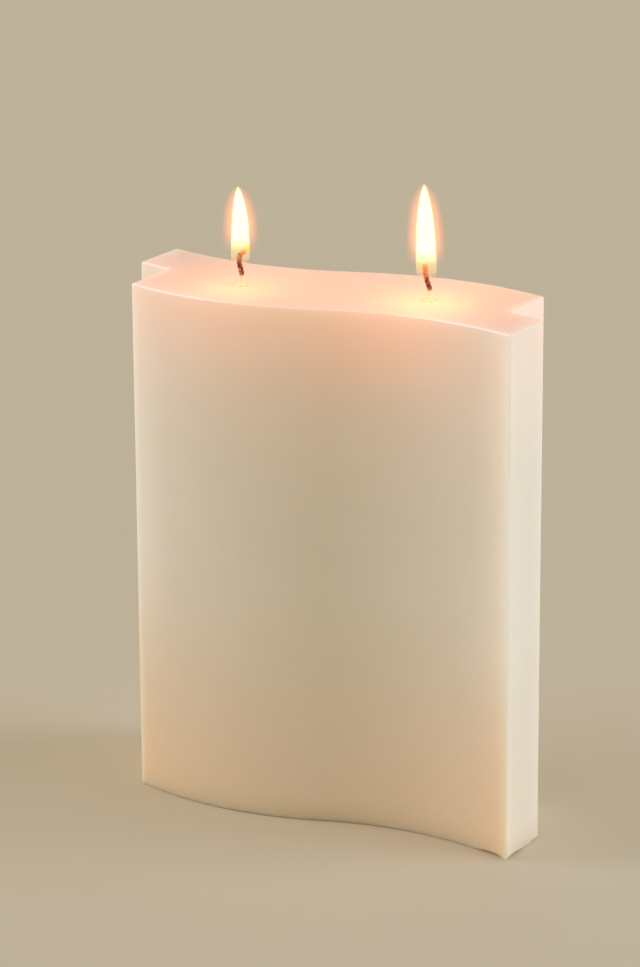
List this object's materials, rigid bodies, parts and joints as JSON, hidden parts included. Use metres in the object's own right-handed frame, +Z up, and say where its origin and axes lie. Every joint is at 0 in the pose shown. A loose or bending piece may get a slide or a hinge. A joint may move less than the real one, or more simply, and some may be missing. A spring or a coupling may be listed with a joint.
{
  "type": "multi-wick candle",
  "caption": "Tall wavy block candle of cast wax with stepped ends, shown lit with burning wicks; stands on its flat base and gives a broad joint light at a ceremony.",
  "frame": {"origin": "middle of the flat base, at the centre of the S-shaped plan", "axes": "+Z up along the wicks to the flames, +X along the long wavy faces to the viewer's right, +Y through the block from the front face to the back"},
  "size_m": [0.157, 0.0634, 0.2182],
  "materials": {
    "wax": "smooth ivory wax, faintly translucent, soft satin sheen",
    "wick": "braided cotton, waxed in the block, charred and glowing at the tip",
    "liquid_wax": "clear molten wax, wet gloss",
    "flame": "glowing gas, white-yellow with an orange rim",
    "tinplate": "pressed tin-plated steel, dull bright"
  },
  "bodies": {
    "root": {"wax_body": "wax", "wick_left": "wick", "wick_right": "wick", "melt_pool_left": "liquid_wax", "melt_pool_right": "liquid_wax", "flame_left": "flame", "flame_right": "flame", "wick_sustainer_left": "tinplate", "wick_sustainer_right": "tinplate"}
  },
  "joints": []
}
